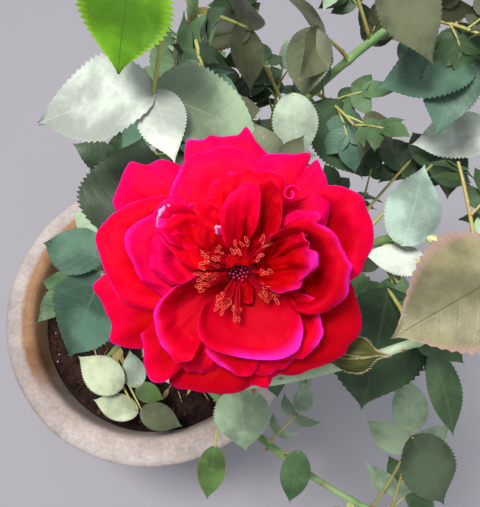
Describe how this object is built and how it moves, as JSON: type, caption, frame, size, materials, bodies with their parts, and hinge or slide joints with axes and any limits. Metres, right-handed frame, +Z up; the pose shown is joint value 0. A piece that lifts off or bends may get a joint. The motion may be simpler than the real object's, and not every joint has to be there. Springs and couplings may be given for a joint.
{
  "type": "potted rose bush",
  "caption": "Red garden rose bush with arching leafy canes, one open double bloom and a green bud, growing in a tapered clay pot filled with soil.",
  "frame": {"origin": "middle of the pot's flat underside", "axes": "+Z up, -Y towards the front, from where the bloom leans a little to the viewer, +X to the right"},
  "size_m": [0.4102, 0.4456, 0.675],
  "materials": {
    "pot_clay": "matte",
    "soil": "matte",
    "old_wood": "matte",
    "green_cane": "satin",
    "foliage": "satin",
    "petal": "satin",
    "stamen": "matte",
    "sepal": "satin"
  },
  "bodies": {
    "root": {"pot": "pot_clay", "soil": "soil", "root_crown": "old_wood", "bloom_petals": "petal", "bloom_heart": "stamen", "bloom_hip": "sepal", "bud": "sepal", "bough_bloom": "green_cane", "bough_arching": "green_cane", "bough_low": "green_cane", "bough_right": "green_cane", "bough_back_right": "green_cane", "bough_back": "green_cane", "bough_back_left": "green_cane", "bough_left": "green_cane", "bough_basal": "green_cane", "leaves_bloom": "foliage", "leaves_arching": "foliage", "leaves_low": "foliage", "leaves_right": "foliage", "leaves_back_right": "foliage", "leaves_back": "foliage", "leaves_back_left": "foliage", "leaves_left": "foliage", "leaves_basal": "foliage"}
  },
  "joints": []
}
